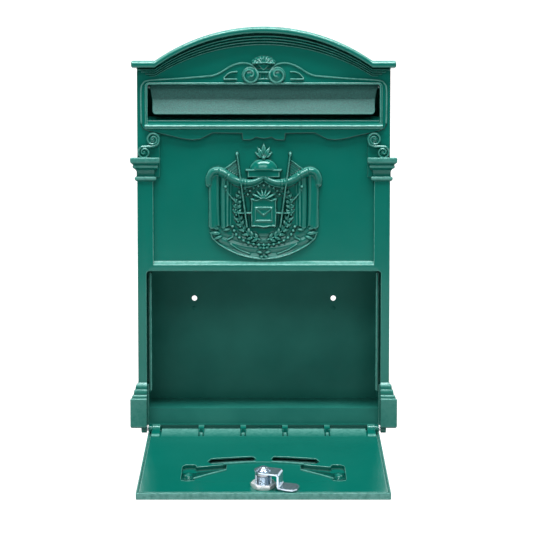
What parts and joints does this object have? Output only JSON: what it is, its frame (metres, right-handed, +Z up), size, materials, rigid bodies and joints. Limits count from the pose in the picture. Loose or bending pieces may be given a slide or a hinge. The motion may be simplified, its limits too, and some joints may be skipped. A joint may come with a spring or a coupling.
{
  "type": "wall mounted mailbox",
  "caption": "Cast classical wall mailbox with an arched cornice, a lift-up letter slot flap, side columns, a sunk crest panel and a bottom-hung door with a cam lock.",
  "frame": {"origin": "on the pan's flat rear face, which lies on the wall, midway between the two wall holes", "axes": "+X to the viewer's right, +Y into the wall, +Z up; the front faces -Y"},
  "size_m": [0.2672, 0.234, 0.4407],
  "materials": {
    "green_paint": "satin green paint on cast metal, slightly lighter on worn edges",
    "pan_paint": "satin green paint on sheet metal",
    "flap_paint": "fine hammered green paint",
    "chrome": "bright chrome plate",
    "zinc_steel": "bright zinc plate",
    "brass": "plain brass"
  },
  "bodies": {
    "case": {"front_casting": "green_paint", "back_pan": "pan_paint", "back_pan_screw_1": "zinc_steel", "back_pan_screw_2": "zinc_steel", "back_pan_screw_3": "zinc_steel", "back_pan_screw_4": "zinc_steel", "back_pan_screw_5": "zinc_steel", "back_pan_screw_6": "zinc_steel", "flap_hinge_rod": "zinc_steel", "flap_rod_clip_left": "zinc_steel", "flap_rod_clip_right": "zinc_steel", "door_hinge_pin_left": "zinc_steel", "door_hinge_pin_right": "zinc_steel"},
    "flap": {"slot_flap": "flap_paint"},
    "door": {"door_panel": "green_paint", "lock_barrel": "chrome", "lock_nut": "chrome"},
    "lock_core": {"lock_plug": "chrome", "lock_wafer_1": "brass", "lock_wafer_2": "brass", "lock_wafer_3": "brass", "lock_wafer_4": "brass", "cam_stop_disc": "zinc_steel", "lock_cam": "chrome", "cam_washer": "zinc_steel", "cam_screw": "chrome"}
  },
  "joints": [
    {"name": "flap_hinge", "type": "hinge", "parent": "case", "child": "flap", "pos_m": [0, -0.0756, 0.2176], "axis": [-1, 0, 0], "range_deg": [0, 70]},
    {"name": "door_hinge", "type": "hinge", "parent": "case", "child": "door", "pos_m": [0, -0.0778, -0.1254], "axis": [-1, 0, 0], "range_deg": [0, 100.7]},
    {"name": "lock_turn", "type": "hinge", "parent": "door", "child": "lock_core", "pos_m": [0, -0.21739, -0.15361], "axis": [0, 0.1857, -0.9826], "range_deg": [-16, 74]}
  ]
}
